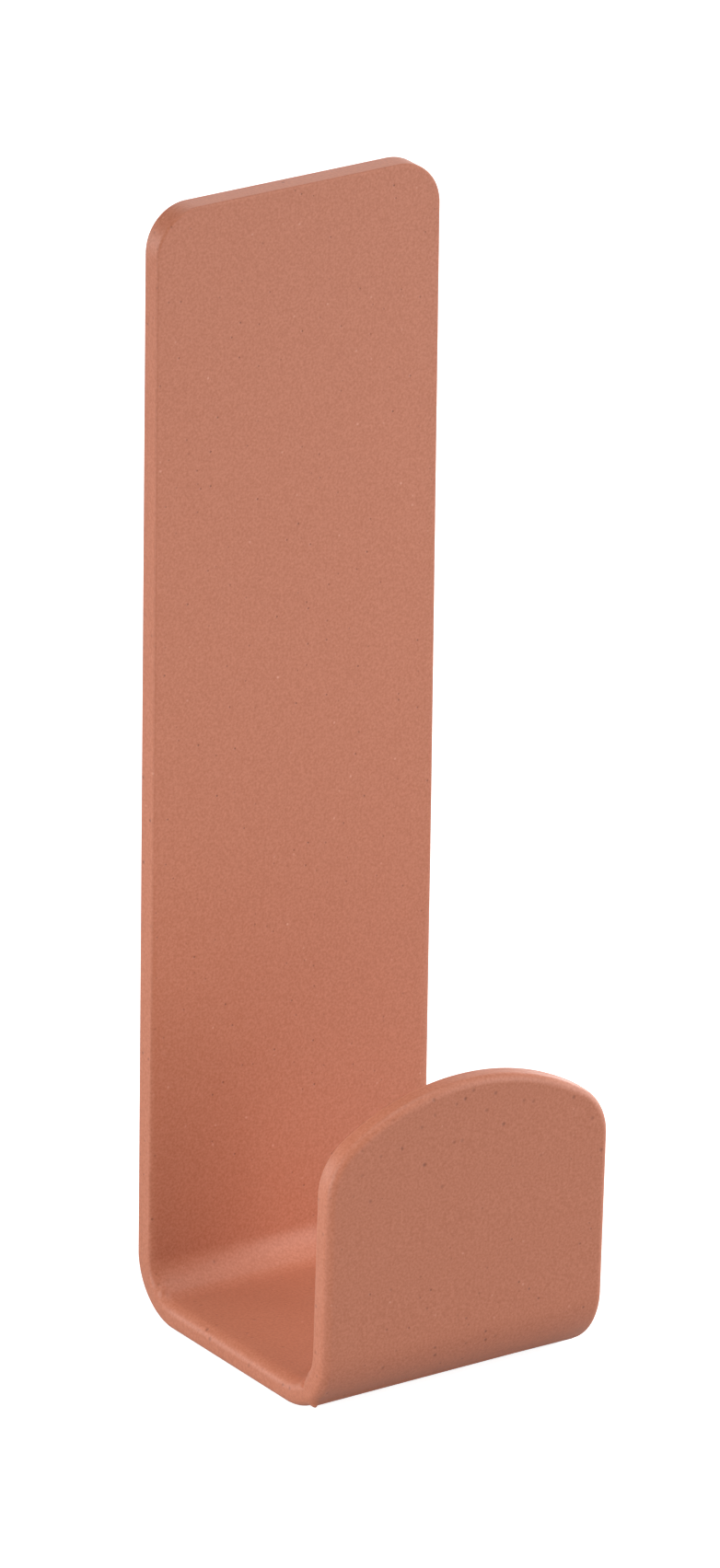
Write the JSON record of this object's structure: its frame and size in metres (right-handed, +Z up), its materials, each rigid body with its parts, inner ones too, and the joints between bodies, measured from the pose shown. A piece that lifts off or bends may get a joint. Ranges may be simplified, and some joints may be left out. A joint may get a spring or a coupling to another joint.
{
  "type": "wall hook",
  "caption": "Slim J-shaped wall hook folded from a coated steel strip, with a rounded back plate, flat shelf and arched front lip, on a flat foam adhesive pad.",
  "frame": {"origin": "centre of the adhesive pad's face on the wall", "axes": "+Z up the back plate, +Y into the wall, so the hook stands out towards -Y, +X along the hook's width"},
  "size_m": [0.028, 0.0312, 0.0989],
  "materials": {
    "terracotta_powder_coat": "satin powder coat with a fine even grain",
    "white_foam": "closed-cell foam with a tacky adhesive face"
  },
  "bodies": {
    "root": {"hook_body": "terracotta_powder_coat", "adhesive_pad": "white_foam"}
  },
  "joints": []
}
